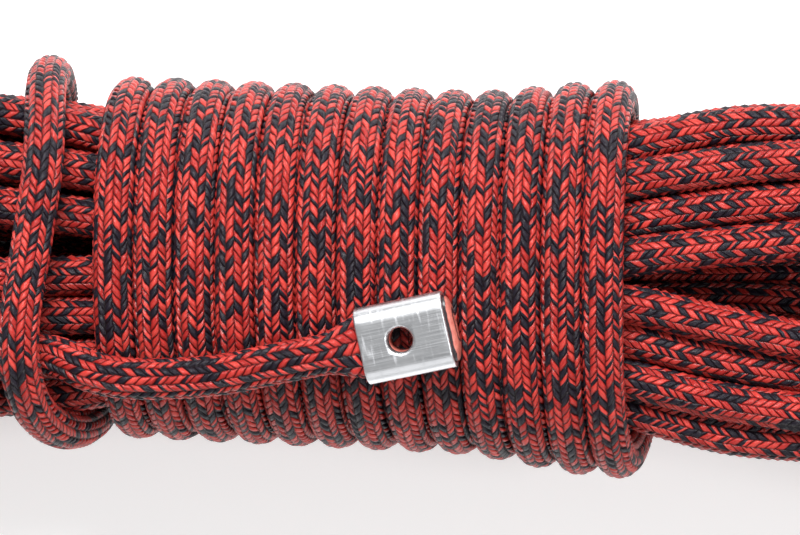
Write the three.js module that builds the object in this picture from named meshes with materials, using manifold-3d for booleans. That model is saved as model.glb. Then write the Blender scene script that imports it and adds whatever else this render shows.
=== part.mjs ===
// A dynamic climbing rope, 10 mm thick and about 20 m long, put up as a skein that is wound round its waist.
// Millimetres, +Z up. X runs along the hank, and the origin is on the flat underside of the winding, at its
// middle. The skein, the winding and the locking turn are one rope, cut here where it changes what it does.
// Both ends of the rope are free to lift: a sheath over twisted core strands, pressed flat in an aluminium
// ferrule with a hole.
import * as THREE from 'three';
import { mergeVertices } from 'three/addons/utils/BufferGeometryUtils.js';
import Module from 'manifold-3d';

const wasm = await Module();
wasm.setup();

// Driving dimensions
const ROPE = 10;
const ROPE_R = ROPE / 2;
const GAP = 0.3; // between pieces that touch
const WRAPS = 13;
const MIDDLE_Z = 38; // height of the winding's middle
const OVAL_POWER = 2.3; // 2 is an ellipse, and more is squarer
const WRAP_Y = 40; // half width of the path that a wrap follows
const WRAP_Z = 34.5; // half height of that path
const WRAP_BULGE = 4; // how much wider the path is at the last wrap
const BULGE_FROM = 20; // where it starts to widen
const BULGE_OVER = 40; // the stretch over which it does
const BEND_X = 190; // where the skein's end bends start, on either side
const SHEATH_WALL = 0.9;
const CORE_R = 1.1;
const CORE_RING = 2.65; // from the middle strand to the six round it
const CORE_LAY = 42; // length of one turn of the twist
const CORE_SIDES = 6;
const FERRULE = { length: 22, width: 18.8, height: 8.5, wall: 1.2, hole: 6.1, holeAt: -0.8 };
const CRIMP_LEAD = 11; // the stretch that flattens before the ferrule
const CRIMP_STAND_OUT = 2.3; // the sealed end past the ferrule
const SHEATH_SIDES = 10;
const ROUTE_STEP = ROPE; // between the rings of a tube along a route
const END_STEP = 5.5; // the same on the free ends

// The skein's outline: x, half width, underside and top. It is lifted where the rope's turns pass under it.
const SKEIN = [
  [-BEND_X, 52.5, 0.3, 54.5],
  [-150, 50, 0.3, 57],
  [-110, 38.5, 10.8, 64.5],
  [-66, 34.3, 10.8, 66.8],
  [30, 34.3, 10.8, 66.8],
  [64, 37.5, 10.8, 66.8],
  [84, 40, 10.8, 66],
  [106, 45.5, 7, 63],
  [150, 51, 0.3, 57],
  [BEND_X, 52.5, 0.3, 54.5],
];

// Routes of the stretches that aren't coiled
const LOCKING_ROUTE = [
  [-70.8, 20, 5.3], [-70.9, 6, 5.3], [-71, -8, 5.3], [-71.2, -22, 6.4], [-71.6, -34, 13.4],
  [-72.2, -40.9, 24.5], [-73.2, -43, 37], [-74.8, -42.6, 49], [-77, -39.9, 61], [-79.2, -34.6, 71.8],
  [-80.6, -26, 79.6],
  [-81, -16, 82.9], [-80.5, -6, 81.8], [-79.6, 4, 78.2], [-79, 14, 74.8], [-78.4, 24, 71.4],
  [-79.4, 33.5, 65], [-81.4, 40.6, 55.2], [-83.4, 44, 43], [-84.8, 43.8, 30], [-86, 40, 18.6],
  [-87.1, 32.4, 9.6], [-87.9, 21.5, 5.5], [-88.4, 10, 5.3],
];
const TUCK_ROUTE = [
  [-89.4, 0, 5.3], [-91.6, -13, 5.5], [-95.5, -26, 8], [-99.8, -36.4, 15.4], [-102.8, -42.8, 26.6],
  [-104, -44, 38], [-104.2, -42, 49], [-103, -37.4, 58.4], [-99.2, -30.8, 64.8], [-92.4, -25, 68],
  [-84.5, -21.8, 69.2], [-77.5, -21.2, 70.7], [-71.9, -21.8, 73.1],
];
const TAIL_ROUTE = [
  [-71, -22.1, 73.7], [-64.5, -24.1, 77], [-56, -25.1, 79.1], [-44, -24.6, 79.5], [-31, -22.9, 80.1],
  [-18, -19.5, 81.3], [-8.1, -17.1, 82.2],
];
const TAIL_FERRULE = { at: [13.8, -11.5, 82.2], heading: 14.4 };
const LEAD_ROUTE = [
  [-178, -38, 60], [-195, -38, 60], [-211, -33.7, 60], [-222.7, -22, 60], [-227, -6, 60.1],
  [-223, 9, 60.2], [-213.5, 20.3, 60.4], [-201.4, 25.4, 60.7],
];
const START_ROUTE = [
  [-199.7, 25.7, 60.7], [-190, 26.2, 61.8], [-178, 24.6, 63.8], [-167, 22, 65.8], [-156, 19, 67.6],
  [-148.3, 16.7, 68.6],
];
const START_FERRULE = { at: [-126.5, 10.1, 68.6], heading: -16.6 };

const MATERIALS = {
  sheath: new THREE.MeshStandardMaterial({ color: 0xb8332e, roughness: 0.75, metalness: 0 }),
  core: new THREE.MeshStandardMaterial({ color: 0xeeebe2, roughness: 0.6, metalness: 0 }),
  sealed: new THREE.MeshStandardMaterial({ color: 0x8e3b38, roughness: 0.45, metalness: 0 }),
  aluminium: new THREE.MeshStandardMaterial({ color: 0xc6c8cb, roughness: 0.35, metalness: 1 }),
};

const rope = new THREE.Group();

function addNode(name, geometry, material) {
  const mesh = new THREE.Mesh(geometry, material);
  mesh.name = name;
  rope.add(mesh);
  return mesh;
}

// Closed position-only copy of a geometry, as a solid that can be cut
function toSolid(geometry) {
  const bare = geometry.clone();
  bare.deleteAttribute('normal');
  bare.deleteAttribute('uv');
  const merged = mergeVertices(bare, 1e-4);
  const vertProperties = new Float32Array(merged.attributes.position.array);
  const triVerts = new Uint32Array(merged.index.array);
  return new wasm.Manifold(new wasm.Mesh({ numProp: 3, vertProperties, triVerts }));
}

function toGeometry(solid) {
  const mesh = solid.getMesh();
  const geometry = new THREE.BufferGeometry();
  geometry.setAttribute('position', new THREE.BufferAttribute(mesh.vertProperties, 3));
  geometry.setIndex(new THREE.BufferAttribute(mesh.triVerts, 1));
  geometry.computeVertexNormals();
  return geometry;
}

function reshape(geometry, move) {
  const position = geometry.attributes.position;
  const point = new THREE.Vector3();
  for (let i = 0; i < position.count; i += 1) {
    point.fromBufferAttribute(position, i);
    move(point);
    position.setXYZ(i, point.x, point.y, point.z);
  }
  return geometry;
}

function roundSection(radius, sides) {
  const corners = [];
  for (let i = 0; i < sides; i += 1) {
    const angle = (i / sides) * 2 * Math.PI;
    corners.push(new THREE.Vector2(radius * Math.cos(angle), radius * Math.sin(angle)));
  }
  return corners;
}

function curveThrough(points) {
  return new THREE.CatmullRomCurve3(points.map((p) => new THREE.Vector3(...p)), false, 'centripetal');
}

function sweptTube(curve, radius, sides, step, bore = 0) {
  const section = new THREE.Shape(roundSection(radius, sides));
  if (bore > 0) {
    section.holes.push(new THREE.Path(roundSection(bore, sides).reverse()));
  }
  const steps = Math.max(2, Math.round(curve.getLength() / step));
  return new THREE.ExtrudeGeometry(section, { steps, bevelEnabled: false, extrudePath: curve });
}

const smooth = (t) => t * t * (3 - 2 * t);

// Value of one column of SKEIN at x, eased between its rows
function skeinAt(x, column) {
  const row = SKEIN.findIndex((r) => r[0] >= x);
  if (row <= 0) {
    return row === 0 ? SKEIN[0][column] : SKEIN[SKEIN.length - 1][column];
  }
  const [before, after] = [SKEIN[row - 1], SKEIN[row]];
  const t = (x - before[0]) / (after[0] - before[0]);
  return before[column] + (after[column] - before[column]) * smooth(t);
}

// Point of a rounded oval of half width 1 and half height 1
function ovalPoint(angle) {
  const shape = (v) => Math.sign(v) * Math.abs(v) ** (2 / OVAL_POWER);
  return [shape(Math.cos(angle)), shape(Math.sin(angle))];
}

// The skein of the rope: one closed solid with a flute for each outer strand and a round bend at each end
function hankStrands() {
  const flutes = 20;
  const perFlute = 2;
  const fluteDepth = 0.05; // share of the outline's radius
  const spread = 0.985; // rings crowd towards both ends as the sine of almost half a turn
  const tipWidth = 0.02; // least share of its width squared that the bend keeps at its tip
  const tipHeight = 0.55; // share of its height that it keeps there
  const outline = roundSection(1, flutes * perFlute);
  const shape = new THREE.Shape(outline);
  const flat = new THREE.ExtrudeGeometry(shape, { steps: 38, depth: 1, bevelEnabled: false });
  const bendR = SKEIN[0][1];
  const end = BEND_X + bendR;
  return reshape(flat, (p) => {
    const turn = Math.PI * (p.z - 0.5);
    const x = end * Math.sin(turn * spread) / Math.sin(Math.PI * 0.5 * spread);
    const past = Math.max(0, Math.abs(x) - BEND_X) / bendR;
    const roundOff = Math.sqrt(Math.max(tipWidth, 1 - past * past));
    const angle = Math.atan2(p.y, p.x);
    const [across, up] = ovalPoint(angle);
    const flute = 1 - (fluteDepth / 2) * (1 - Math.cos(flutes * angle)) * Math.hypot(p.x, p.y);
    const top = skeinAt(x, 3);
    const underside = skeinAt(x, 2);
    const endHeight = tipHeight + (1 - tipHeight) * roundOff;
    const halfHeight = ((top - underside) / 2) * endHeight;
    p.set(x, across * flute * skeinAt(x, 1) * roundOff, underside + halfHeight * (1 + up * flute));
  });
}

// Thirteen touching wraps as one ring: a lathe profile of round ridges, turned round X, drawn out to an oval
function waistWinding() {
  const ridgeSteps = 4;
  const sides = 36;
  const meanR = (WRAP_Y + WRAP_Z) / 2;
  const inner = -ROPE_R + GAP;
  const half = (WRAPS * ROPE) / 2;
  const profile = [new THREE.Vector2(meanR + inner, -half)];
  for (let wrap = 0; wrap < WRAPS; wrap += 1) {
    const middle = -half + (wrap + 0.5) * ROPE;
    for (let i = wrap === 0 ? 0 : 1; i <= ridgeSteps; i += 1) {
      const angle = Math.PI * (1 - i / ridgeSteps);
      profile.push(new THREE.Vector2(meanR + ROPE_R * Math.sin(angle), middle + ROPE_R * Math.cos(angle)));
    }
  }
  profile.push(new THREE.Vector2(meanR + inner, half));
  profile.push(new THREE.Vector2(meanR + inner, half / 3));
  profile.push(new THREE.Vector2(meanR + inner, -half / 3));
  profile.push(profile[0].clone());
  const ring = new THREE.LatheGeometry(profile, sides);
  return reshape(ring, (p) => {
    const x = p.y;
    const offset = Math.hypot(p.x, p.z) - meanR;
    const [across, up] = ovalPoint(Math.atan2(p.x, p.z));
    const bulge = smooth(THREE.MathUtils.clamp((x - BULGE_FROM) / BULGE_OVER, 0, 1));
    const halfWidth = WRAP_Y + WRAP_BULGE * bulge;
    const normal = new THREE.Vector2(
      (Math.sign(across) * Math.abs(across) ** (OVAL_POWER - 1)) / halfWidth,
      (Math.sign(up) * Math.abs(up) ** (OVAL_POWER - 1)) / WRAP_Z,
    ).normalize();
    const z = MIDDLE_Z + WRAP_Z * up + offset * normal.y;
    p.set(x, halfWidth * across + offset * normal.x, Math.max(0, z));
  });
}

// A section with two round ends: c is half the distance between their centres
function flatSection(c, r, perEnd) {
  const corners = [];
  for (const side of [1, -1]) {
    for (let i = 0; i <= perEnd; i += 1) {
      const angle = Math.PI * (i / perEnd - 0.5);
      corners.push(new THREE.Vector2(side * (c + r * Math.cos(angle)), side * r * Math.sin(angle)));
    }
  }
  return corners;
}

// Turns a geometry extruded along Z so that it runs along X, width along Y, and moves it to start at x
function alongX(geometry, x) {
  geometry.rotateX(Math.PI / 2);
  geometry.rotateZ(Math.PI / 2);
  return geometry.translate(x, 0, 0);
}

function crossHole() {
  const drill = new THREE.CylinderGeometry(FERRULE.hole / 2, FERRULE.hole / 2, 4 * FERRULE.height, 24);
  drill.rotateX(Math.PI / 2);
  return toSolid(drill.translate(FERRULE.holeAt, 0, 0));
}

// A round tube pressed flat, open at both ends, with a hole through both faces
function ferrule() {
  const r = FERRULE.height / 2;
  const c = FERRULE.width / 2 - r;
  const section = new THREE.Shape(flatSection(c, r, 8));
  section.holes.push(new THREE.Path(flatSection(c, r - FERRULE.wall, 8).reverse()));
  const tube = new THREE.ExtrudeGeometry(section, { depth: FERRULE.length, steps: 1, bevelEnabled: false });
  return toGeometry(toSolid(alongX(tube, -FERRULE.length / 2)).subtract(crossHole()));
}

// Sheath and core pressed together: round where the free rope ends, flat inside the ferrule, sealed past it
function crimpedEnd() {
  const boreR = FERRULE.height / 2 - FERRULE.wall - GAP;
  const boreC = FERRULE.width / 2 - FERRULE.height / 2;
  const start = -FERRULE.length / 2 - CRIMP_LEAD;
  const pressedBy = CRIMP_LEAD - 0.5; // flat just before it enters
  const end = FERRULE.length / 2 + CRIMP_STAND_OUT;
  const section = new THREE.Shape(flatSection(1, 1, 8));
  const bar = new THREE.ExtrudeGeometry(section, { depth: end - start, steps: 12, bevelEnabled: false });
  const shaped = reshape(alongX(bar, start), (p) => {
    const press = smooth(THREE.MathUtils.clamp((p.x - start) / pressedBy, 0, 1));
    const c = boreC * press;
    const r = THREE.MathUtils.lerp(ROPE_R - GAP, boreR, press);
    const core = THREE.MathUtils.clamp(p.y, -1, 1);
    p.set(p.x, core * c + (p.y - core) * r, p.z * r);
  });
  return toGeometry(toSolid(shaped).subtract(crossHole()));
}

// Seven strands in the sheath: one in the middle and six twisted round it
function coreStrands(name, curve) {
  const steps = Math.round(curve.getLength() / ROPE_R);
  const frames = curve.computeFrenetFrames(steps, false);
  for (let strand = 1; strand <= 7; strand += 1) {
    const ring = strand === 1 ? 0 : CORE_RING;
    const points = [];
    for (let i = 0; i <= steps; i += 1) {
      const along = (i / steps) * curve.getLength();
      const angle = ((strand - 2) / 6 + along / CORE_LAY) * 2 * Math.PI;
      const point = curve.getPointAt(i / steps);
      point.addScaledVector(frames.normals[i], ring * Math.cos(angle));
      point.addScaledVector(frames.binormals[i], ring * Math.sin(angle));
      points.push(point.toArray());
    }
    const twisted = sweptTube(curveThrough(points), CORE_R, CORE_SIDES, END_STEP);
    addNode(`${name}_core_strand_${strand}`, twisted, MATERIALS.core);
  }
}

// A stretch of the rope that neither coils nor moves
function addStretch(name, route) {
  addNode(name, sweptTube(curveThrough(route), ROPE_R, SHEATH_SIDES, ROUTE_STEP), MATERIALS.sheath);
}

// One free end of the rope, from where it lifts to its sealed tip
function freeEnd(name, route, place) {
  const curve = curveThrough(route);
  const sheath = sweptTube(curve, ROPE_R, SHEATH_SIDES, END_STEP, ROPE_R - SHEATH_WALL);
  addNode(`${name}_sheath`, sheath, MATERIALS.sheath);
  coreStrands(name, curve);
  const holder = new THREE.Group();
  holder.position.set(...place.at);
  holder.rotation.z = THREE.MathUtils.degToRad(place.heading);
  rope.add(holder);
  holder.add(addNode(`${name}_crimped_end`, crimpedEnd(), MATERIALS.sealed));
  holder.add(addNode(`${name}_ferrule`, ferrule(), MATERIALS.aluminium));
}

addNode('hank_strands', hankStrands(), MATERIALS.sheath);
addNode('waist_winding', waistWinding(), MATERIALS.sheath);
addStretch('locking_turn', LOCKING_ROUTE);
addStretch('tucked_stretch', TUCK_ROUTE);
addStretch('start_lead', LEAD_ROUTE);
freeEnd('tail', TAIL_ROUTE, TAIL_FERRULE);
freeEnd('start', START_ROUTE, START_FERRULE);

export default rope;
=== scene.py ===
import math

import bmesh
import bpy
import numpy as np
from mathutils import Matrix, Vector


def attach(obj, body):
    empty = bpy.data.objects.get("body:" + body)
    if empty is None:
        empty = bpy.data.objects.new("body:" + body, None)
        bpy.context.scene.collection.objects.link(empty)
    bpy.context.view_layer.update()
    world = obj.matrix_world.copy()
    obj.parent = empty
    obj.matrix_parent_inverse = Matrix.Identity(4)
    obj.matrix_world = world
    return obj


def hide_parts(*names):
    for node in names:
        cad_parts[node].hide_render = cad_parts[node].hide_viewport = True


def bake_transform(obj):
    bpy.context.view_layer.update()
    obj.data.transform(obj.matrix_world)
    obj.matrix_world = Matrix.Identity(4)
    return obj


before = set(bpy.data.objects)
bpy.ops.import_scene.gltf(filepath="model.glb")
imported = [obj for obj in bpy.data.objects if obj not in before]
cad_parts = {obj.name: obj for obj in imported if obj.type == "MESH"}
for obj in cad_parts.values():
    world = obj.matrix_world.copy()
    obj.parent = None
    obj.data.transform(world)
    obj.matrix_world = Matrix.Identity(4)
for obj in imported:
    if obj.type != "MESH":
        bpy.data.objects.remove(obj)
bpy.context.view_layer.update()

# ---------------------------------------------------------------------------
# Driving dimensions, in metres
# ---------------------------------------------------------------------------

MM = 0.001
ROPE = 10 * MM
WRAPS = 13
MIDDLE_Z = 38 * MM
OVAL_POWER = 2.3
WRAP_Y = 40 * MM
WRAP_Z = 34.5 * MM
WRAP_BULGE = 4 * MM
BEND_X = 190 * MM  # from the middle to the centre of each end bend
FLOOR_LINE = 5.2 * MM  # height of the rope's own line where it lies on the floor

# The braid: fourteen columns of floats round the rope, each float one row long.
COLUMNS = 14
ROW = 2.25 * MM
SLANT = 0.95  # rows that a float climbs across its column
VALLEY = 4.56 * MM
CREST = 5.12 * MM
PER_ROW = 4  # points of the rope's line in one row of the braid
FINE = ROW / PER_ROW

# The skein: sixteen turns in three stacks of five beside the eye, and one on top.
TURNS = 16
STACK = 5
STATION = 5 * MM
BEND_STATIONS = 26
SKEIN_HALF = 47.6  # mm, half its width at the bends
WAIST_HALF = 30  # mm, half its width inside the winding

FERRULE_LENGTH = 22 * MM
FERRULE_WIDTH = 18.8 * MM
FERRULE_HEIGHT = 8.5 * MM
FERRULE_WALL = 1.2 * MM
HOLE = 6.1 * MM
HOLE_AT = -0.8 * MM
CHAMFER = 0.55 * MM
GRIP = 2 * MM  # how far the sheath runs on inside the ferrule
CRIMP_LEAD = 11 * MM
CRIMP_STAND_OUT = 1.95 * MM

# The rope's free stretches, by the same points as the CAD.
LOCKING_ROUTE = MM * np.array([
    [-70.8, 20, 5.3], [-70.9, 6, 5.3], [-71, -8, 5.3], [-71.2, -22, 6.4], [-71.6, -34, 13.4],
    [-72.2, -40.9, 24.5], [-73.2, -43, 37], [-74.8, -42.6, 49], [-77, -39.9, 61],
    [-79.2, -34.6, 71.8], [-80.6, -26, 79.6], [-81, -16, 82.9], [-80.5, -6, 81.8],
    [-79.6, 4, 78.2], [-79, 14, 74.8], [-78.4, 24, 71.4], [-79.4, 33.5, 65],
    [-81.4, 40.6, 55.2], [-83.4, 44, 43], [-84.8, 43.8, 30], [-86, 40, 18.6],
    [-87.1, 32.4, 9.6], [-87.9, 21.5, 5.5], [-88.4, 10, 5.3],
])
TUCK_ROUTE = MM * np.array([
    [-89.4, 0, 5.3], [-91.6, -13, 5.5], [-95.5, -26, 8], [-99.8, -36.4, 15.4],
    [-102.8, -42.8, 26.6], [-104, -44, 38], [-104.2, -42, 49], [-103, -37.4, 58.4],
    [-99.2, -30.8, 64.8], [-92.4, -25, 68], [-84.5, -21.8, 69.2], [-77.5, -21.2, 70.7],
    [-71.9, -21.8, 73.1],
])
TAIL_ROUTE = MM * np.array([
    [-64.5, -24.1, 77], [-56, -25.1, 79.1], [-44, -24.6, 79.5], [-31, -22.9, 80.1],
    [-18, -19.5, 81.3], [-8.1, -17.1, 82.2],
])
TAIL_FERRULE = MM * np.array([13.8, -11.5, 82.2])
TAIL_HEADING = math.radians(14.4)
LEAD_ROUTE = MM * np.array([
    [-178, -38, 60], [-195, -38, 60], [-211, -33.7, 60], [-222.7, -22, 60], [-227, -6, 60.1],
    [-223, 9, 60.2], [-213.5, 20.3, 60.4], [-201.4, 25.4, 60.7],
])
START_ROUTE = MM * np.array([
    [-190, 26.2, 61.8], [-178, 24.6, 63.8], [-167, 22, 65.8], [-156, 19, 67.6],
    [-148.3, 16.7, 68.6],
])
START_FERRULE = MM * np.array([-126.5, 10.1, 68.6])
START_HEADING = math.radians(-16.6)


# ---------------------------------------------------------------------------
# Curves
# ---------------------------------------------------------------------------

def smooth(t):
    """Eases from 0 to 1 as t does."""
    t = np.clip(t, 0, 1)
    return t * t * (3 - 2 * t)


def length_along(points):
    """The distance along a line at each of its points."""
    steps = np.linalg.norm(np.diff(points, axis=0), axis=1)
    return np.concatenate([[0], np.cumsum(steps)])


def evenly(points, step):
    """The same line with points about a step apart."""
    along = length_along(points)
    count = max(2, int(round(along[-1] / step)) + 1)
    wanted = np.linspace(0, along[-1], count)
    return np.stack([np.interp(wanted, along, points[:, axis]) for axis in range(3)], axis=1)


def curve_through(points, step):
    """A centripetal Catmull-Rom curve through the points."""
    p = np.vstack([2 * points[0] - points[1], points, 2 * points[-1] - points[-2]])
    gaps = np.linalg.norm(np.diff(p, axis=0), axis=1)
    knots = np.concatenate([[0], np.cumsum(np.sqrt(gaps))])
    pieces = []
    for i in range(1, len(p) - 2):
        t0, t1, t2, t3 = knots[i - 1:i + 3]
        count = max(1, math.ceil(gaps[i] / step))
        t = np.linspace(t1, t2, count, endpoint=False)[:, None]
        a1 = ((t1 - t) * p[i - 1] + (t - t0) * p[i]) / (t1 - t0)
        a2 = ((t2 - t) * p[i] + (t - t1) * p[i + 1]) / (t2 - t1)
        a3 = ((t3 - t) * p[i + 1] + (t - t2) * p[i + 2]) / (t3 - t2)
        b1 = ((t2 - t) * a1 + (t - t0) * a2) / (t2 - t0)
        b2 = ((t3 - t) * a2 + (t - t1) * a3) / (t3 - t1)
        pieces.append(((t2 - t) * b1 + (t - t1) * b2) / (t2 - t1))
    pieces.append(points[-1:])
    return np.vstack(pieces)


def soften(points, reach):
    """A line with its kinks eased by a running average, its ends kept."""
    window = np.hanning(2 * reach + 3)[1:-1]
    window /= window.sum()
    head = 2 * points[0] - points[reach:0:-1]
    foot = 2 * points[-1] - points[-2:-reach - 2:-1]
    padded = np.vstack([head, points, foot])
    return np.stack([np.convolve(padded[:, axis], window, mode="valid") for axis in range(3)], axis=1)


# ---------------------------------------------------------------------------
# The skein: sixteen turns that settle against each other
# ---------------------------------------------------------------------------

def slot(number, place):
    """Distance from the eye's middle plane and height of one of the sixteen slots, in mm."""
    if number == 0:
        return {"bend": (34, 58), "throat": (11.5, 60.5), "neck": (4.5, 60), "waist": (5, 61)}[place]
    column = 2 - (number - 1) // STACK
    row = (number - 1) % STACK
    if column == 1:
        row = STACK - 1 - row
    stagger = 5.1 if column == 1 else 0
    if place == "bend":
        return 30 + 8.7 * column, 46.5 - 10.3 * row + stagger
    if place == "throat":
        inward = (0, 2, 7, 14, 16)[row] * (1 - 0.08 * column)
        return 21.5 + 9.5 * column - inward, 58.3 - 1.5 * column - 11.2 * row + stagger / 2
    if place == "neck":
        return 12.5 + 11.8 * column - 2.2 * row, 58.8 - 4 * column - 11 * row + stagger / 2
    return 13 + 9 * column - 1.8 * abs(row - 1.5), 60 - 4 * column - 10.5 * row + stagger / 3


def slot_at(number, x):
    """The same at x mm from the hank's middle, between waist, throat and bend."""
    opening = "throat" if x > 0 else "neck"
    waist, throat, bend = (np.array(slot(number, place)) for place in ("waist", opening, "bend"))
    away = abs(x)
    if away < 105:
        t = float(smooth((away - 50) / (45 if x > 0 else 28)))
        return (waist + (throat - waist) * t) * MM
    # The lower runs spread further out than the upper ones.
    late, end = (114, 172) if waist[1] < 50 else (105, 165)
    t = float(smooth((away - late) / (end - late)))
    return (throat + (bend - throat) * t) * MM


def room(x):
    """Half the width and the lowest and highest line of the skein at x mm from its middle."""
    away = abs(x)
    t = float(smooth((away - 50) / 40 if x > 0 else (away - 44) / 22))
    spread = 7.6 if x > 0 else 8
    half = WAIST_HALF + 3 * float(smooth((x - 20) / 40)) + spread * t
    half = min(half + (SKEIN_HALF - WAIST_HALF - spread) * float(smooth((away - 108) / 45)), SKEIN_HALF)
    low = 13.5 - 8.3 * float(smooth((away - 66) / 70))
    high = 62.5 - 2 * float(smooth((away - 100) / 60))
    return half * MM, low * MM, high * MM


def skein_goals(xs):
    """Where each point of each turn would like to be, and how many points the skein has."""
    count = len(xs)
    per_turn = 2 * count + 2 * BEND_STATIONS
    last = TURNS - 1
    goal = np.zeros((TURNS, per_turn, 2))
    for turn in range(TURNS):
        after = min(turn + 1, last)
        for i, x in enumerate(xs):
            goal[turn, i] = slot_at(turn, x)
            back = xs[count - 1 - i]
            here = slot_at(turn, back)
            there = slot_at(after, back)
            t = float(smooth((50 - back) / 100))
            goal[turn, count + BEND_STATIONS + i] = here + (there - here) * t
        goal[turn, count:count + BEND_STATIONS] = slot_at(turn, BEND_X / MM)
        goal[turn, 2 * count + BEND_STATIONS:] = slot_at(after, BEND_X / MM)

    # The first run comes down from the lead on top of the bend.
    lead_end = np.array([38, 60]) * MM
    for i, x in enumerate(xs):
        if x < -118:
            goal[0, i] = lead_end + (goal[0, i] - lead_end) * float(smooth((x + 178) / 60))

    # The last run leaves the skein along the floor for the winding.
    leave = [i for i in range(count) if xs[count - 1 - i] >= 95]
    for i in leave:
        t = float(smooth((xs[count - 1 - i] - 95) / 75))
        goal[last, count + BEND_STATIONS + i] = np.array([17 + 13 * t, 5.3]) * MM
    end = last * per_turn + count + BEND_STATIONS + leave[-1] + 1

    # The run beside it moves over and closes the bottom of the opening.
    over = smooth((xs - 80) / 20) * (1 - smooth((xs - 140) / 35))
    goal[last, :count, 0] += (1.5 * MM - goal[last, :count, 0]) * over

    # Every run wanders a little to and fro, and half as much up and down.
    wander = np.random.default_rng(7).normal(0, 1, (TURNS, per_turn // 12 + 2, 2))
    for turn in range(TURNS):
        spots = np.linspace(0, per_turn, wander.shape[1])
        for axis in range(2):
            ripple = np.interp(np.arange(per_turn), spots, wander[turn, :, axis])
            goal[turn, :, axis] += ripple * 1.1 * MM * (0.5 if axis else 1)
    return goal.reshape(-1, 2)[:end], per_turn


def skein_sections(xs, per_turn, end):
    """For each section across the skein: its points, their side of the middle, and its room."""
    count = len(xs)
    starts = np.arange(TURNS) * per_turn
    sections = []
    for i, x in enumerate(xs):
        one = starts + i
        other = starts + count + BEND_STATIONS + (count - 1 - i)
        members = np.concatenate([one, other])
        side = np.concatenate([-np.ones(TURNS), np.ones(TURNS)])
        sections.append((members[members < end], side[members < end], room(x)))
    for i in range(BEND_STATIONS):
        for first in (count, 2 * count + BEND_STATIONS):
            members = starts + first + i
            members = members[members < end]
            sections.append((members, np.ones(len(members)), (SKEIN_HALF * MM, FLOOR_LINE, 62 * MM)))
    return sections


def spread_apart(y, z, half, low, high):
    """Pushes the runs of one section off each other and back into its rounded room."""
    dy = y[:, None] - y[None, :]
    dz = z[:, None] - z[None, :]
    distance = np.sqrt(dy * dy + dz * dz)
    np.fill_diagonal(distance, 1)
    push = np.clip(ROPE * 0.995 - distance, 0, None) * 0.42 / np.maximum(distance, 1e-5)
    y = y + (push * dy).sum(axis=1)
    z = z + (push * dz).sum(axis=1)
    middle = (low + high) / 2
    tall = (high - low) / 2
    power = 2.4 if half < 34 * MM else 4  # an oval inside the winding, nearly a box outside it
    over = (np.abs(y / half) ** power + np.abs((z - middle) / tall) ** power) ** (1 / power)
    scale = 1 / np.maximum(over, 1)
    return y * scale, np.maximum(middle + (z - middle) * scale, FLOOR_LINE)


def settle_skein():
    """Sixteen turns of the rope as one chain of points, pushed apart until they lie side by side."""
    xs = np.arange(-BEND_X, BEND_X + STATION / 2, STATION) / MM
    goal, per_turn = skein_goals(xs)
    end = len(goal)
    sections = skein_sections(xs, per_turn, end)
    fixed = np.zeros(end, bool)
    fixed[:4] = True
    fixed[-3:] = True
    pull = 0.045
    loosen_after = 250
    chain = goal.copy()
    for step in range(420):
        chain[1:-1] += 0.3 * (0.5 * (chain[:-2] + chain[2:]) - chain[1:-1])
        chain += pull * (goal - chain) * (1 if step < loosen_after else 0.35)
        for members, side, limits in sections:
            y, z = spread_apart(chain[members, 0] * side, chain[members, 1], *limits)
            chain[members, 0] = y * side
            chain[members, 1] = z
        chain[fixed] = goal[fixed]
    return skein_points(chain, xs, per_turn)


def skein_points(chain, xs, per_turn):
    """The settled chain in space: out at one side, round the bend, and back at the other."""
    count = len(xs)
    angles = (np.arange(BEND_STATIONS) + 0.5) / BEND_STATIONS * math.pi - math.pi / 2
    points = np.zeros((len(chain), 3))
    for k, (d, z) in enumerate(chain):
        i = k % per_turn
        if i < count:
            points[k] = xs[i] * MM, -d, z
        elif i < count + BEND_STATIONS:
            a = angles[i - count]
            points[k] = BEND_X + d * math.cos(a), d * math.sin(a), z
        elif i < 2 * count + BEND_STATIONS:
            points[k] = xs[2 * count + BEND_STATIONS - 1 - i] * MM, d, z
        else:
            a = angles[i - 2 * count - BEND_STATIONS] + math.pi
            points[k] = -BEND_X + d * math.cos(a), d * math.sin(a), z
    # To the right of the winding the whole skein leans a little to one side.
    lean = 2.6 * MM
    x = points[:, 0] / MM
    points[:, 1] += lean * smooth((x - 42) / 28) * (1 - smooth((x - 112) / 60))
    return points[3:]


# ---------------------------------------------------------------------------
# The waist winding
# ---------------------------------------------------------------------------

def oval_point(angle, x):
    """A point of the winding's oval at an angle round it, 0 at the side away from the tail."""
    wide = WRAP_Y + WRAP_BULGE * float(smooth((x / MM - 20) / 40))
    c, s = math.cos(angle), math.sin(angle)
    y = wide * math.copysign(abs(c) ** (2 / OVAL_POWER), c)
    z = MIDDLE_Z + WRAP_Z * math.copysign(abs(s) ** (2 / OVAL_POWER), s)
    return x, y, max(z, FLOOR_LINE)


def winding_line():
    """The thirteen waist turns, from the floor at the right to the floor at the left."""
    per_turn = 96
    first, short_of_last = 8, 22  # the steps left out where the rope comes and goes along the floor
    points = []
    for i in range(first, WRAPS * per_turn - short_of_last):
        turned = i / per_turn
        x = (WRAPS / 2 - turned) * ROPE
        points.append(oval_point(-math.pi / 2 - 2 * math.pi * turned, x))
    return np.array(points)


def quarter_turn():
    """The rope on the floor, from the skein's last run round into the winding."""
    radius = 22 * MM
    centre = np.array([87, -5, 5.3]) * MM
    steps = 8
    points = []
    for i in range(1, steps):
        a = math.radians(90 + 90 * i / steps)
        points.append(centre + radius * np.array([math.cos(a), math.sin(a), 0]))
    return np.array(points)


# ---------------------------------------------------------------------------
# The whole rope as one line, with a frame that doesn't twist
# ---------------------------------------------------------------------------

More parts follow.
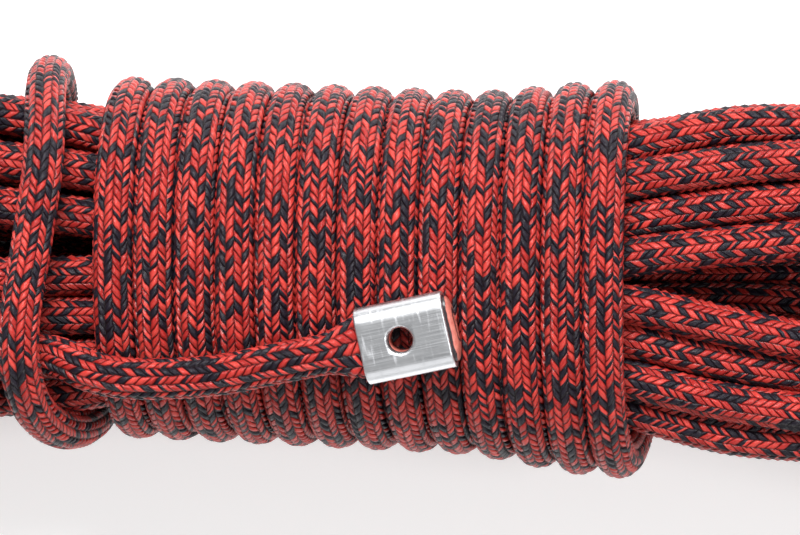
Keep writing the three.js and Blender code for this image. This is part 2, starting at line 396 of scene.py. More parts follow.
def mouth(ferrule, heading, inside=0.0):
    """A point on a ferrule's axis, at its mouth or some way inside it."""
    back = inside - FERRULE_LENGTH / 2
    return ferrule + back * np.array([math.cos(heading), math.sin(heading), 0])


def whole_rope():
    """The rope's line from inside one ferrule to inside the other."""
    start = np.vstack([
        mouth(START_FERRULE, START_HEADING, GRIP), mouth(START_FERRULE, START_HEADING),
        START_ROUTE[::-1],
    ])
    lead = LEAD_ROUTE[::-1]
    skein = np.vstack([settle_skein(), quarter_turn()])
    winding = winding_line()
    locking = np.vstack([LOCKING_ROUTE, TUCK_ROUTE])
    tail = np.vstack([
        TAIL_ROUTE, mouth(TAIL_FERRULE, TAIL_HEADING), mouth(TAIL_FERRULE, TAIL_HEADING, GRIP),
    ])
    route = np.vstack([start, lead, skein, winding, locking, tail])
    line = evenly(curve_through(route, 1.5 * MM), 1 * MM)
    return evenly(soften(line, 5), FINE)


def carried_frame(line):
    """A tangent and two cross directions at each point, carried along without twist."""
    ahead = np.gradient(line, axis=0)
    ahead /= np.linalg.norm(ahead, axis=1)[:, None]
    across = np.zeros_like(line)
    x, y, z = np.cross(ahead[0], (0.0, 0.0, 1.0))
    for i, (tx, ty, tz) in enumerate(ahead.tolist()):
        dot = x * tx + y * ty + z * tz
        x, y, z = x - dot * tx, y - dot * ty, z - dot * tz
        size = math.sqrt(x * x + y * y + z * z)
        x, y, z = x / size, y / size, z / size
        across[i] = x, y, z
    return ahead, across, np.cross(ahead, across)


LINE = whole_rope()
AHEAD, ACROSS, UPWARD = carried_frame(LINE)
ROWS = (len(LINE) - 1) // PER_ROW


def row_near(point, first=0, last=None):
    """The row of the braid nearest a point, within a range of rows."""
    last = ROWS if last is None else last
    spots = LINE[first * PER_ROW:last * PER_ROW + 1:PER_ROW]
    return first + int(np.argmin(np.linalg.norm(spots - np.array(point), axis=1)))


# ---------------------------------------------------------------------------
# The braided sheath
# ---------------------------------------------------------------------------

def make_object(name, vertices, loops, sizes, uv=None):
    """A mesh object from flat arrays of corners."""
    mesh = bpy.data.meshes.new(name)
    mesh.vertices.add(len(vertices))
    mesh.vertices.foreach_set("co", np.ascontiguousarray(vertices, np.float32).ravel())
    mesh.loops.add(len(loops))
    mesh.loops.foreach_set("vertex_index", loops.astype(np.int32))
    mesh.polygons.add(len(sizes))
    begin = np.concatenate([[0], np.cumsum(sizes)[:-1]]).astype(np.int32)
    mesh.polygons.foreach_set("loop_start", begin)
    mesh.polygons.foreach_set("use_smooth", np.ones(len(sizes), bool))
    if uv is not None:
        layer = mesh.uv_layers.new(name="braid")
        layer.data.foreach_set("uv", uv.astype(np.float32).ravel())
    mesh.update(calc_edges=True)
    mesh.validate()
    thing = bpy.data.objects.new(name, mesh)
    bpy.context.scene.collection.objects.link(thing)
    return thing


def squeezed(distance):
    """How far the rope is pressed flat, by its distance from a ferrule's mouth."""
    return smooth(1 - (distance + 1 * MM) / CRIMP_LEAD)


def braid_relief(u, row):
    """The sheath's radius: floats stand up, and neighbouring columns are half a row apart."""
    stagger = 0.5 * np.mod(np.floor(u), 2)
    over_row = 1 - np.abs(2 * np.mod(row[:, None] + stagger[None, :], 1) - 1) ** 3
    over_float = 0.2 + 0.8 * (1 - np.abs(2 * np.mod(u, 1) - 1) ** 3)
    return VALLEY + (CREST - VALLEY) * over_row * over_float[None, :]


def pressed(direction, ahead, flat):
    """Offsets across the rope, round where flat is 0 and the ferrule's flat bore where it is 1."""
    level = np.cross(np.broadcast_to((0.0, 0.0, 1.0), ahead.shape), ahead)
    level /= np.maximum(np.linalg.norm(level, axis=2), 1e-9)[..., None]
    rise = np.cross(ahead, level)
    side = (direction * level).sum(axis=2)
    top = (direction * rise).sum(axis=2)
    box = np.maximum((np.abs(side) ** 3 + np.abs(top) ** 3) ** (1 / 3), 0.1)
    half_wide, half_tall = 7.7 / 5, 2.85 / 5  # of the pressed rope, where the round one has 1
    wide = 1 + flat * (half_wide / box - 1)
    tall = 1 + flat * (half_tall / box - 1)
    return level * (side * wide)[..., None] + rise * (top * tall)[..., None]


def braid_faces(u, row, round_steps):
    """Corners, sizes and UVs of the sheath's faces, with a fan at each end."""
    sides, rings = len(u), len(row)
    i = np.arange(sides)
    m = np.arange(rings - 1)[:, None]
    after = (i + 1) % sides
    quads = np.stack(
        [m * sides + i, m * sides + after, (m + 1) * sides + after, (m + 1) * sides + i], axis=-1)
    row_here = np.broadcast_to(row[:-1, None], (rings - 1, sides))
    row_next = np.broadcast_to(row[1:, None], (rings - 1, sides))
    u_here = np.broadcast_to(u, (rings - 1, sides))
    u_after = u_here + 1 / round_steps
    uv = np.stack([
        np.stack([u_here, row_here], axis=-1), np.stack([u_after, row_here], axis=-1),
        np.stack([u_after, row_next], axis=-1), np.stack([u_here, row_next], axis=-1),
    ], axis=2).reshape(-1, 2)
    low_cap, high_cap = rings * sides, rings * sides + 1
    last_ring = (rings - 1) * sides
    low_fan = np.stack([np.full(sides, low_cap), after, i], axis=-1)
    high_fan = np.stack([np.full(sides, high_cap), last_ring + i, last_ring + after], axis=-1)
    fan_uv = np.stack([u, np.full(sides, row[0])], axis=-1)[:, None]
    fan_uv = np.tile(fan_uv, (1, 3, 1)).reshape(-1, 2)
    loops = np.concatenate([quads.reshape(-1), low_fan.reshape(-1), high_fan.reshape(-1)])
    sizes = np.concatenate([np.full(quads.shape[0] * sides, 4), np.full(2 * sides, 3)])
    return loops, sizes, np.vstack([uv, fan_uv, fan_uv + (0, row[-1] - row[0])])


def braided(name, first, last, round_steps, long_steps):
    """A stretch of the braided sheath from one row to another, with its relief in the mesh."""
    u = np.arange(COLUMNS * round_steps) / round_steps
    row = first + np.arange((last - first) * long_steps + 1) / long_steps
    total = len(LINE) - 1

    # The floats of odd and even columns slant opposite ways.
    zigzag = -SLANT * (1 - np.abs(1 - np.mod(u, 2)))
    along = np.clip((row[:, None] + zigzag[None, :]) * PER_ROW, 0, total - 0.001)
    low = along.astype(int)
    part = (along - low)[..., None]

    def between(values):
        return values[low] * (1 - part) + values[low + 1] * part

    centre = between(LINE)
    ahead, across, upward = between(AHEAD), between(ACROSS), between(UPWARD)
    angle = (2 * math.pi * u / COLUMNS)[None, :, None]
    direction = across * np.cos(angle) + upward * np.sin(angle)

    flat = np.zeros_like(along)
    near_end = 60  # rows
    if last > ROWS - near_end:
        flat = squeezed((total - along) * FINE - GRIP)
    if first < near_end:
        flat = squeezed(along * FINE - GRIP)
    place = centre + pressed(direction, ahead, flat) * braid_relief(u, row)[..., None]

    caps = LINE[[min(first * PER_ROW, total), min(last * PER_ROW, total)]]
    vertices = np.vstack([place.reshape(-1, 3), caps])
    return make_object(name, vertices, *braid_faces(u, row, round_steps))


def path_of(first, last, step):
    """The rope's own line between two rows, as points a step of rows apart."""
    spots = list(range(first * PER_ROW, last * PER_ROW, step * PER_ROW)) + [last * PER_ROW]
    return LINE[spots]


# ---------------------------------------------------------------------------
# Materials
# ---------------------------------------------------------------------------

class Graph:
    """A material's nodes, with short ways to add them."""

    def __init__(self, name):
        self.material = bpy.data.materials.new(name)
        self.material.use_nodes = True
        self.tree = self.material.node_tree
        self.shader = self.tree.nodes["Principled BSDF"]

    def put(self, socket, value):
        """Links or sets a socket."""
        if isinstance(value, bpy.types.NodeSocket):
            self.tree.links.new(value, socket)
        else:
            socket.default_value = value

    def paint(self, name, value):
        """Links or sets one of the shader's own inputs."""
        self.put(self.shader.inputs[name], value)

    def math(self, operation, *values):
        """One step of arithmetic."""
        node = self.tree.nodes.new("ShaderNodeMath")
        node.operation = operation
        for socket, value in zip(node.inputs, values):
            self.put(socket, value)
        return node.outputs[0]

    def plus(self, one, other):
        return self.math("ADD", one, other)

    def minus(self, one, other):
        return self.math("SUBTRACT", one, other)

    def times(self, one, other):
        return self.math("MULTIPLY", one, other)

    def below(self, value, limit):
        """1 where a value is less than the limit, and 0 elsewhere."""
        return self.math("LESS_THAN", value, limit)

    def noise(self, vector, scale, detail=2.0, roughness=0.5, dimensions="3D"):
        """Soft clouds of noise."""
        node = self.tree.nodes.new("ShaderNodeTexNoise")
        node.noise_dimensions = dimensions
        self.put(node.inputs["Vector"], vector)
        node.inputs["Scale"].default_value = scale
        node.inputs["Detail"].default_value = detail
        node.inputs["Roughness"].default_value = roughness
        return node.outputs["Fac"]

    def white_noise(self, vector=None, w=None):
        """One random number for each whole place or number."""
        node = self.tree.nodes.new("ShaderNodeTexWhiteNoise")
        node.noise_dimensions = "2D" if vector is not None else "1D"
        if vector is not None:
            self.put(node.inputs["Vector"], vector)
        else:
            self.put(node.inputs["W"], w)
        return node.outputs["Value"]

    def vector(self, x, y):
        """A place on the flat of two coordinates."""
        node = self.tree.nodes.new("ShaderNodeCombineXYZ")
        self.put(node.inputs[0], x)
        self.put(node.inputs[1], y)
        return node.outputs[0]

    def mix(self, factor, one, other):
        """One colour, going over to the other as the factor goes to 1."""
        node = self.tree.nodes.new("ShaderNodeMix")
        node.data_type = "RGBA"
        self.put(node.inputs["Factor"], factor)
        self.put(node.inputs["A"], one)
        self.put(node.inputs["B"], other)
        return node.outputs["Result"]

    def plateau(self, value):
        """Rises steeply from 0 at both ends of 0 to 1, and is nearly flat between."""
        away = self.math("ABSOLUTE", self.minus(self.times(value, 2.0), 1.0))
        return self.minus(1.0, self.math("POWER", away, 4.0))

    def bump(self, height, distance, strength):
        """Small relief on top of the mesh's own."""
        node = self.tree.nodes.new("ShaderNodeBump")
        node.inputs["Strength"].default_value = strength
        node.inputs["Distance"].default_value = distance
        self.put(node.inputs["Height"], height)
        return node.outputs["Normal"]

    def object_place(self):
        """The place on the piece, in metres."""
        return self.tree.nodes.new("ShaderNodeTexCoord").outputs["Object"]

    def uv(self, name):
        """The two coordinates of a UV layer."""
        node = self.tree.nodes.new("ShaderNodeUVMap")
        node.uv_map = name
        split = self.tree.nodes.new("ShaderNodeSeparateXYZ")
        self.tree.links.new(node.outputs["UV"], split.inputs[0])
        return split.outputs[0], split.outputs[1]


RED = (0.50, 0.028, 0.022, 1)
RED_DEEP = (0.16, 0.004, 0.005, 1)
# Paler pink for the painted highlight on the red floats' tops.
RED_PAINTED_HIGHLIGHT = (0.80, 0.12, 0.09, 1)
NAVY = (0.002, 0.001, 0.003, 1)
NAVY_SOFT = (0.012, 0.008, 0.018, 1)
# Near black for the painted shade between the floats.
PAINTED_CREVICE_SHADE = (0.006, 0.002, 0.003, 1)


def dark_plies(g, column, number, across, odd):
    """1 where a yarn's ply is black and 0 where it is red."""
    sign = g.minus(1.0, g.times(odd, 2.0))
    turned = g.plus(number, g.times(sign, column))
    other_way = 16.0  # keeps the yarns of the two directions apart
    carrier = g.plus(g.math("FLOORED_MODULO", turned, float(COLUMNS)), g.times(odd, other_way))
    carrier_draw = g.white_noise(w=g.plus(carrier, 3.5))
    float_draw = g.white_noise(vector=g.vector(column, number))
    patch_place = g.vector(g.times(column, 0.8), g.times(number, 0.75))
    patch = g.noise(patch_place, 1.0, 1.0, 0.5, "2D")

    # Plies turn over within a yarn, so the same yarn shows red in some floats and black in others.
    draw = g.plus(g.times(float_draw, 0.8), g.times(carrier_draw, 0.1))
    draw = g.plus(draw, g.times(g.minus(patch, 0.5), 0.3))
    one_ply = g.times(g.below(draw, 0.45), g.below(across, 0.5))
    return g.math("MAXIMUM", g.below(draw, 0.27), one_ply)


def sheath_material():
    """Red and black nylon yarns in a herringbone braid, each float two plies side by side, with painted shade
    between the floats and a painted highlight on the red floats' tops.
    """
    g = Graph("sheath_braid")
    u, row = g.uv("braid")
    sway = g.noise(g.vector(g.times(u, 1.1), row), 1.0, 1.0, 0.5, "2D")
    row = g.plus(row, g.times(g.minus(sway, 0.5), 0.35))
    swing = g.noise(g.vector(u, g.times(row, 1.2)), 1.3, 1.0, 0.5, "2D")
    u = g.plus(u, g.times(g.minus(swing, 0.5), 0.25))
    column = g.math("FLOOR", u)
    odd = g.math("FLOORED_MODULO", column, 2.0)
    row = g.plus(row, g.times(odd, 0.5))
    number = g.math("FLOOR", row)
    across = g.math("FRACT", row)
    dark = dark_plies(g, column, number, across, odd)

    # Each float is flat-topped across and dips under its neighbours at both ends.
    dip = g.plus(g.times(g.plateau(g.math("FRACT", u)), 0.8), 0.2)
    dome = g.times(g.plateau(across), dip)
    streaks = g.noise(g.vector(g.times(u, 1.3), g.times(row, 17.0)), 1.0, 2.0, 0.6, "2D")
    tone = g.white_noise(vector=g.vector(g.plus(column, 31.0), number))

    shade = g.plus(g.times(streaks, 0.75), g.times(tone, 0.4))
    # The tops of the red floats are painted paler pink, most where the fibre streaks are bright: a painted
    # highlight.
    painted_highlight = g.times(g.times(dome, streaks), g.times(tone, 0.5))
    red = g.mix(painted_highlight, g.mix(shade, RED_DEEP, RED), RED_PAINTED_HIGHLIGHT)
    yarn = g.mix(dark, red, g.mix(streaks, NAVY, NAVY_SOFT))
    # The floats go near black at their edges and ends, where they dip under their neighbours: painted shade
    # in the crevices of the braid.
    clear_of_painted_shade = g.math("SMOOTH_MIN", g.times(dome, 1.25), 1.0, 0.2)
    g.paint("Base Color", g.mix(g.minus(1.0, clear_of_painted_shade), yarn, PAINTED_CREVICE_SHADE))
    g.paint("Roughness", g.plus(g.plus(g.times(streaks, 0.2), g.times(dark, 0.12)), 0.2))

    ply_gap = g.math("ABSOLUTE", g.minus(across, 0.5))
    ply_line = g.math("SMOOTH_MIN", g.times(ply_gap, 6.0), 1.0, 0.3)
    height = g.plus(g.plus(dome, g.times(ply_line, 0.04)), g.times(streaks, 0.25))
    g.paint("Normal", g.bump(height, 0.55 * MM, 1.0))
    g.paint("Specular IOR Level", 0.3)
    g.paint("Sheen Weight", 0.015)
    g.paint("Sheen Roughness", 0.4)
    g.paint("Sheen Tint", (1.0, 0.8, 0.78, 1))
    return g.material


def aluminium_material():
    """Pressed aluminium, brushed along its length, with fine scratches."""
    g = Graph("pressed_aluminium")
    u, v = g.uv("skin")
    brushed = g.noise(g.vector(g.times(u, 60.0), g.times(v, 4200.0)), 1.0, 3.0, 0.65, "2D")
    cloud = g.noise(g.object_place(), 160.0, 3.0, 0.6)
    scratch = g.noise(g.vector(g.times(u, 900.0), g.times(v, 140.0)), 1.0, 2.0, 0.5, "2D")
    mark = g.times(g.math("MAXIMUM", g.minus(scratch, 0.6), 0.0), 0.8)
    tone = g.plus(g.times(brushed, 0.5), g.times(cloud, 0.5))
    g.paint("Base Color", g.mix(tone, (0.50, 0.51, 0.53, 1), (0.80, 0.81, 0.83, 1)))
    g.paint("Roughness", g.plus(g.plus(g.times(brushed, 0.22), 0.24), mark))
    g.paint("Normal", g.bump(g.plus(brushed, mark), 0.04 * MM, 0.5))
    g.paint("Metallic", 1.0)
    return g.material


def sealed_material():
    """Nylon melted shut: uneven salmon, black at its mouth and shoulder, with a dark red hole; the black at
    the mouth and the dark red in the hole are painted shade.
    """
    g = Graph("sealed_nylon")
    rim = g.uv("skin")[1]
    lumps = g.noise(g.object_place(), 900.0, 4.0, 0.6)
    flow = g.noise(g.object_place(), 260.0, 2.0, 0.5)
    edge = g.plus(rim, g.times(g.minus(flow, 0.5), 0.22))
    # Black at the ferrule's mouth: painted shade in the gap there.
    mouth_shade_line = g.math("GREATER_THAN", edge, 0.95)
    shoulder_line = g.below(g.math("ABSOLUTE", g.minus(edge, 0.67)), 0.035)
    # Black at the mouth is painted shade; the ring at the shoulder is drawn black too.
    mouth_shade_and_shoulder_ring = g.math("MAXIMUM", mouth_shade_line, shoulder_line)
    middle = g.mix(lumps, (0.30, 0.035, 0.028, 1), (0.55, 0.20, 0.15, 1))
    # Darker red where the mark is near 0, which is on the hole's walls and the end caps: painted shade in the
    # hole.
    middle = g.mix(g.below(rim, 0.03), middle, (0.12, 0.012, 0.012, 1))
    g.paint("Base Color", g.mix(mouth_shade_and_shoulder_ring, middle, (0.018, 0.012, 0.014, 1)))
    g.paint("Roughness", g.plus(g.times(lumps, 0.3), 0.22))
    g.paint("Normal", g.bump(lumps, 0.25 * MM, 0.7))
    return g.material


def core_material():
    """Twisted white nylon."""
    g = Graph("core_nylon")
    fibre = g.noise(g.object_place(), 1400.0, 3.0, 0.6)
    g.paint("Base Color", g.mix(fibre, (0.55, 0.54, 0.50, 1), (0.86, 0.85, 0.82, 1)))
    g.paint("Roughness", g.plus(g.times(fibre, 0.25), 0.5))
    g.paint("Normal", g.bump(fibre, 0.1 * MM, 0.6))
    return g.material


SHEATH = sheath_material()
ALUMINIUM = aluminium_material()
SEALED = sealed_material()
CORE = core_material()


def finish_with(thing, material):
    """Gives a piece its material."""
    thing.data.materials.clear()
    thing.data.materials.append(material)
    return thing


# ---------------------------------------------------------------------------
# Ferrules and the sealed rope ends in them
# ---------------------------------------------------------------------------

def flat_ring(width, height, count=72):
    """A flat section: straight top and bottom, round sides."""
    half = height / 2
    run = width / 2 - half
    arc = math.pi * half
    lap = 4 * run + 2 * arc
    points = []
    for i in range(count):
        s = (i / count) * lap
        if s < arc / 2:
            a = s / half
            points.append((run + half * math.cos(a), half * math.sin(a)))
        elif s < arc / 2 + 2 * run:
            points.append((run - (s - arc / 2), half))
        elif s < 1.5 * arc + 2 * run:
            a = math.pi / 2 + (s - arc / 2 - 2 * run) / half
            points.append((-run + half * math.cos(a), half * math.sin(a)))
        elif s < 1.5 * arc + 4 * run:
            points.append((-run + (s - 1.5 * arc - 2 * run), -half))
        else:
            a = 1.5 * math.pi + (s - 1.5 * arc - 4 * run) / half
            points.append((run + half * math.cos(a), half * math.sin(a)))
    return np.array(points)


def lofted(name, rings, closed_ends, marks=None):
    """A skin over rings of equal count; each ring is (x, section points).

    The UV layer holds the way along and the way round, or the way round and the ring's mark.
    """
    count = len(rings[0][1])
    vertices = [(x, y, z) for x, section in rings for y, z in section]
    travelled = [0.0]
    for (x0, a), (x1, b) in zip(rings, rings[1:]):
        travelled.append(travelled[-1] + float(np.hypot(x1 - x0, np.linalg.norm(b - a, axis=1).mean())))
    first = rings[0][1]
    around = length_along(np.vstack([first, first[:1]]))
    loops, sizes, uv = [], [], []
    for m in range(len(rings) - 1):
        for i in range(count):
            after = (i + 1) % count
            loops += [m * count + i, m * count + after, (m + 1) * count + after, (m + 1) * count + i]
            sizes.append(4)
            left, right = around[i], around[i + 1]
            if marks is None:
                low, high = travelled[m], travelled[m + 1]
                uv += [(low, left), (low, right), (high, right), (high, left)]
            else:
                low, high = marks[m], marks[m + 1]
                uv += [(left, low), (right, low), (right, high), (left, high)]
    if closed_ends:
        last_ring = (len(rings) - 1) * count
        loops += list(range(count))[::-1]
        loops += [last_ring + i for i in range(count)]
        sizes += [count, count]
        uv += [(0.0, 0.0)] * (2 * count)
    thing = make_object(name, np.array(vertices), np.array(loops), np.array(sizes))
    layer = thing.data.uv_layers.new(name="skin")
    layer.data.foreach_set("uv", np.array(uv, np.float32).ravel())
    return thing


def cutter(name, profile, sides=64):
    """A turned shape about the vertical axis at the hole; profile is (radius, height)."""
    vertices, loops, sizes = [], [], []
    for radius, z in profile:
        for i in range(sides):
            a = 2 * math.pi * i / sides
            vertices.append((HOLE_AT + radius * math.cos(a), radius * math.sin(a), z))
    for m in range(len(profile) - 1):
        for i in range(sides):
            after = (i + 1) % sides
            loops += [m * sides + i, m * sides + after, (m + 1) * sides + after, (m + 1) * sides + i]
            sizes.append(4)
    loops += list(range(sides))[::-1]
    sizes.append(sides)
    loops += [(len(profile) - 1) * sides + i for i in range(sides)]
    sizes.append(sides)
    thing = make_object(name, np.array(vertices), np.array(loops), np.array(sizes))
    thing.data.uv_layers.new(name="skin")
    return thing


def cut(thing, tool):
    """Cuts the tool's shape out of a piece and removes the tool."""
    modifier = thing.modifiers.new("hole", "BOOLEAN")
    modifier.operation = "DIFFERENCE"
    modifier.solver = "EXACT"
    modifier.object = tool
    bpy.context.view_layer.update()
    cut_mesh = bpy.data.meshes.new_from_object(thing.evaluated_get(bpy.context.evaluated_depsgraph_get()))
    thing.modifiers.clear()
    thing.data = cut_mesh
    bpy.data.objects.remove(tool)
    return thing


def placed(thing, at, heading):
    """Moves a piece built about the origin to its place, within its mesh."""
    thing.data.transform(Matrix.Translation(Vector(at)) @ Matrix.Rotation(heading, 4, "Z"))
    return thing


def ferrule(name, at, heading):
    """A flat pressed tube with rolled lips and a chamfered cross hole."""
    lip = 0.45 * MM
    half = FERRULE_LENGTH / 2
    steps = 6

    def ring(x, inset):
        return x, flat_ring(FERRULE_WIDTH - 2 * inset, FERRULE_HEIGHT - 2 * inset)

    # One lip from the bore out to the skin, then the other from the skin in to the bore.
    rings = []
    middle = FERRULE_WALL / 2
    for end, order in ((-1, range(2 * steps + 1)), (1, range(2 * steps, -1, -1))):
        for i in order:
            a = math.pi * i / (2 * steps)
            inset = middle + middle * math.cos(a)
            x = end * (half - lip + lip * math.sin(a))
            rings.append(ring(x, inset))
    # From the inside of one lip round to the outside, along, and back through the bore.
    stations = np.linspace(-half + lip, half - lip, 15)[1:-1]
    outside = [ring(x, 0) for x in stations]
    inside = [ring(x, FERRULE_WALL) for x in stations[::-1]]
    loop = rings[:2 * steps + 1] + outside + rings[2 * steps + 1:] + inside
    loop.append(loop[0])
    thing = lofted(name, loop, False)
    weld(thing)

    # The hole's tool is chamfered at both mouths and stands out above and below.
    top = FERRULE_HEIGHT / 2
    wide = HOLE / 2 + CHAMFER
    spare = 1 * MM
    profile = [
        (wide + spare, -top - spare), (wide, -top), (HOLE / 2, -top + CHAMFER),
        (HOLE / 2, top - CHAMFER), (wide, top), (wide + spare, top + spare),
    ]
    cut(thing, cutter(name + "_hole", profile))
    placed(thing, at, heading)
    return finish_with(thing, ALUMINIUM)


def weld(thing):
    """Joins vertices that share a place."""
    work = bmesh.new()
    work.from_mesh(thing.data)
    bmesh.ops.remove_doubles(work, verts=work.verts, dist=1e-6)
    bmesh.ops.recalc_face_normals(work, faces=work.faces)
    work.to_mesh(thing.data)
    work.free()


def sealed_end(name, at, heading):
    """The rope's flattened, melted end inside its ferrule, standing out a little at the far side."""
    half = FERRULE_LENGTH / 2
    clear = 0.15 * MM
    wide = FERRULE_WIDTH - 2 * FERRULE_WALL - 2 * clear
    tall = FERRULE_HEIGHT - 2 * FERRULE_WALL - 2 * clear
    lumps = np.random.default_rng(3).normal(0, 1, 9)
    shoulder = half + 0.3 * MM  # where the straight part ends
    face_mark = 0.65

    # The marks are 1 along the bore and fall over the rounded shoulder and on across the face.
    rings, marks = [], []
    for x in np.linspace(-half + 0.6 * MM, shoulder, 18):
        rings.append((x, flat_ring(wide, tall)))
        marks.append(1.0)
    for i in range(1, 13):
        a = math.pi / 2 * i / 12
        shrink = 1 - 0.62 * (1 - math.cos(a))
        x = shoulder + (CRIMP_STAND_OUT - 0.5 * MM) * math.sin(a)
        section = flat_ring(wide * shrink, tall * shrink)
        angle = np.arctan2(section[:, 1] / tall, section[:, 0] / wide)
        ripple = sum(lumps[k] * np.cos((k + 2) * angle + lumps[-k - 1] * 3) for k in range(4)) * 0.012
        rings.append((x, section * (1 + ripple * (i / 12))[:, None]))
        marks.append(1.0 - (1.0 - face_mark) * (i / 12))
    last_x, last_section = rings[-1]
    for i in range(1, 6):
        t = 1 - i / 5.6
        rings.append((last_x + 0.25 * MM * math.sin(i * 1.3) * (1 - t), last_section * t))
        marks.append(face_mark * t)
    thing = lofted(name, rings, True, marks)
    hole = HOLE / 2 - 0.05 * MM
    cut(thing, cutter(name + "_hole", [(hole, -FERRULE_HEIGHT), (hole, FERRULE_HEIGHT)]))
    placed(thing, at, heading)
    return finish_with(thing, SEALED)


def core_strands(name, first, last):
    """Seven twisted core strands inside the sheath of a free end."""
    lay = 42 * MM  # one turn of the strands round the core
    own_lay = 9 * MM  # one turn of a strand on itself
    ring = 2.65 * MM
    thick = 1.05 * MM
    sides = 12
    spots = np.arange(first * PER_ROW, last * PER_ROW, 3)
    vertices, loops, sizes = [], [], []
    for strand in range(7):
        away = 0 if strand == 6 else ring
        turn = 2 * math.pi * strand / 6
        begin = len(vertices)
        for s in spots:
            a = turn + 2 * math.pi * s * FINE / lay
            middle = LINE[s] + away * (ACROSS[s] * math.cos(a) + UPWARD[s] * math.sin(a))
            for i in range(sides):
                b = 2 * math.pi * i / sides
                twist = b + 2 * math.pi * s * FINE / own_lay
                radius = thick * (0.9 + 0.1 * abs(math.cos(1.5 * b)))
                vertices.append(middle + radius * (ACROSS[s] * math.cos(twist) + UPWARD[s] * math.sin(twist)))
        rings = len(spots)
        for m in range(rings - 1):
            for i in range(sides):
                after = (i + 1) % sides
                a, b = begin + m * sides, begin + (m + 1) * sides
                loops += [a + i, a + after, b + after, b + i]
                sizes.append(4)
        loops += [begin + i for i in reversed(range(sides))]
        loops += [begin + (rings - 1) * sides + i for i in range(sides)]
        sizes += [sides, sides]
    thing = make_object(name, np.array(vertices), np.array(loops), np.array(sizes))
    return finish_with(thing, CORE)


# ---------------------------------------------------------------------------
# The pieces
# ---------------------------------------------------------------------------

# How many rows at the rope's start, and at its tail, a point is looked for in. The line passes
# close by the same place more than once.
START_ROWS = 200
WINDING_ROWS = 2200
LOCKING_ROWS = 500
TAIL_ROWS = 120


def dress_rope():
    """The whole rope in five stretches."""
    past_hinge = 7
    start_split = row_near(LEAD_ROUTE[-1], 0, START_ROWS) + past_hinge
    skein_end = row_near(np.array([66, -12, 5.2]) * MM, ROWS - WINDING_ROWS)
    winding_end = row_near(LOCKING_ROUTE[1], ROWS - LOCKING_ROWS)
    tail_split = row_near(TUCK_ROUTE[-3], ROWS - TAIL_ROWS)
    stretches = {
        "rope_start": (0, start_split, 4, 3),
        "rope_skein": (start_split, skein_end, 2, 2),
        "rope_winding": (skein_end, winding_end, 4, 3),
        "rope_locking_turn": (winding_end, tail_split, 4, 3),
        "rope_tail": (tail_split, ROWS, 4, 3),
    }
    made = {}
    for name, (first, last, round_steps, long_steps) in stretches.items():
        made[name] = finish_with(braided(name, first, last, round_steps, long_steps), SHEATH)
    return made, stretches


def cord_facts(name, stretches, step):
    """Finds the line of one stretch of the rope, turned round for the start; the line is not used further."""
    first, last = stretches[name][:2]
    path = path_of(first, last, step)
    if name == "rope_start":
        path = path[::-1]


rope, stretches = dress_rope()

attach(rope["rope_skein"], "hank")
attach(rope["rope_winding"], "hank")
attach(rope["rope_locking_turn"], "hank")
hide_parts("hank_strands", "start_lead")
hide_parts("waist_winding")
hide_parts("locking_turn", "tucked_stretch")

tail_ferrule = ferrule("tail_clamp", TAIL_FERRULE, TAIL_HEADING)
start_ferrule = ferrule("start_clamp", START_FERRULE, START_HEADING)
tail_end = sealed_end("tail_sealed_end", TAIL_FERRULE, TAIL_HEADING)
start_end = sealed_end("start_sealed_end", START_FERRULE, START_HEADING)
for piece, body, node in (
    (tail_ferrule, "tail_end", "tail_ferrule"), (tail_end, "tail_end", "tail_crimped_end"),
    (start_ferrule, "start_end", "start_ferrule"), (start_end, "start_end", "start_crimped_end"),
):
    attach(piece, body)
    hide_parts(node)

# Each core runs from the middle of its hinge to five rows short of the rope's end.
tail_hinge_row = row_near([-0.0705, -0.0222, 0.074], ROWS - TAIL_ROWS)
start_hinge_row = row_near([-0.199, 0.0258, 0.0608], 0, START_ROWS)
tail_core = core_strands("tail_core", tail_hinge_row, ROWS - 5)
start_core = core_strands("start_core", 5, start_hinge_row)
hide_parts("tail_sheath")
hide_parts("start_sheath")
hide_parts(*[f"tail_core_strand_{i}" for i in range(1, 8)])
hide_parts(*[f"start_core_strand_{i}" for i in range(1, 8)])
for piece in (rope["rope_tail"], tail_core):
    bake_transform(piece)
for piece in (rope["rope_start"], start_core):
    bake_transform(piece)

cord_facts("rope_skein", stretches, 4)
cord_facts("rope_winding", stretches, 3)
cord_facts("rope_locking_turn", stretches, 3)
cord_facts("rope_tail", stretches, 2)
cord_facts("rope_start", stretches, 2)


# ---------------------------------------------------------------------------
# Floor, light and camera
# ---------------------------------------------------------------------------

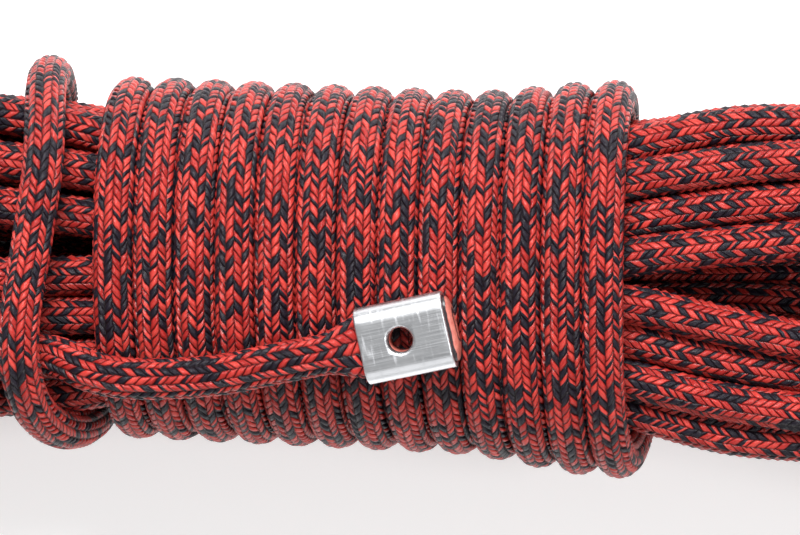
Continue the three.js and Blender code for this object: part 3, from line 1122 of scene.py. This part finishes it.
def studio_floor():
    """A plain white floor."""
    g = Graph("studio_white")
    grain = g.noise(g.object_place(), 3.0, 2.0, 0.5)
    g.paint("Base Color", g.mix(grain, (0.93, 0.93, 0.93, 1), (0.96, 0.96, 0.96, 1)))
    g.paint("Roughness", 0.9)
    g.paint("Emission Color", (1, 1, 1, 1))
    g.paint("Emission Strength", 0.28)
    mesh = bpy.data.meshes.new("floor")
    half = 6.0  # metres
    corners = [(-half, -half, 0), (half, -half, 0), (half, half, 0), (-half, half, 0)]
    mesh.from_pydata(corners, [], [(0, 1, 2, 3)])
    thing = bpy.data.objects.new("floor", mesh)
    thing.data.materials.append(g.material)
    bpy.context.scene.collection.objects.link(thing)


def soft_light(name, place, size, watts):
    """A square softbox that faces the hank."""
    data = bpy.data.lights.new(name, "AREA")
    data.shape = "SQUARE"
    data.size = size
    data.energy = watts
    lamp = bpy.data.objects.new(name, data)
    lamp.location = place
    aim = Vector((0, 0, 0.04)) - Vector(place)
    lamp.rotation_euler = aim.to_track_quat("-Z", "Y").to_euler()
    bpy.context.scene.collection.objects.link(lamp)


def white_world(strength):
    """An even white surrounding light."""
    world = bpy.data.worlds.new("studio")
    world.use_nodes = True
    world.node_tree.nodes["Background"].inputs[0].default_value = (1, 1, 1, 1)
    world.node_tree.nodes["Background"].inputs[1].default_value = strength
    bpy.context.scene.world = world


def studio_camera():
    """A long lens above the hank, leaning a little to its right and away from the tail."""
    lean_x, lean_y, roll = (math.radians(a) for a in (8.3, 6.5, 2.63))
    back = Vector((math.tan(lean_x), math.tan(lean_y), 1)).normalized()
    level = Vector((1, 0, 0))
    level = (level - back * level.dot(back)).normalized()
    up = back.cross(level)
    right = level * math.cos(roll) + up * math.sin(roll)
    up = back.cross(right)
    target = Vector((5.5, 0.35, 38)) * MM
    away = 1.55
    seen_width = 0.198  # metres across the picture, at the target
    sensor = 36
    data = bpy.data.cameras.new("camera")
    data.sensor_width = sensor
    data.lens = sensor * away / seen_width
    data.clip_start = 0.05
    camera = bpy.data.objects.new("camera", data)
    turn = Matrix((right, up, back)).transposed().to_4x4()
    camera.matrix_world = Matrix.Translation(target + back * away) @ turn
    bpy.context.scene.collection.objects.link(camera)
    bpy.context.scene.camera = camera


studio_floor()
studio_camera()
white_world(0.31)
soft_light("key", (0.0, 0.95, 1.15), 0.5, 41)
soft_light("side", (1.1, -0.1, 1.3), 0.6, 10)
soft_light("front_fill", (0.2, -1.3, 0.9), 1.2, 5)
bpy.context.scene.view_settings.view_transform = "Standard"
bpy.context.scene.view_settings.look = "None"
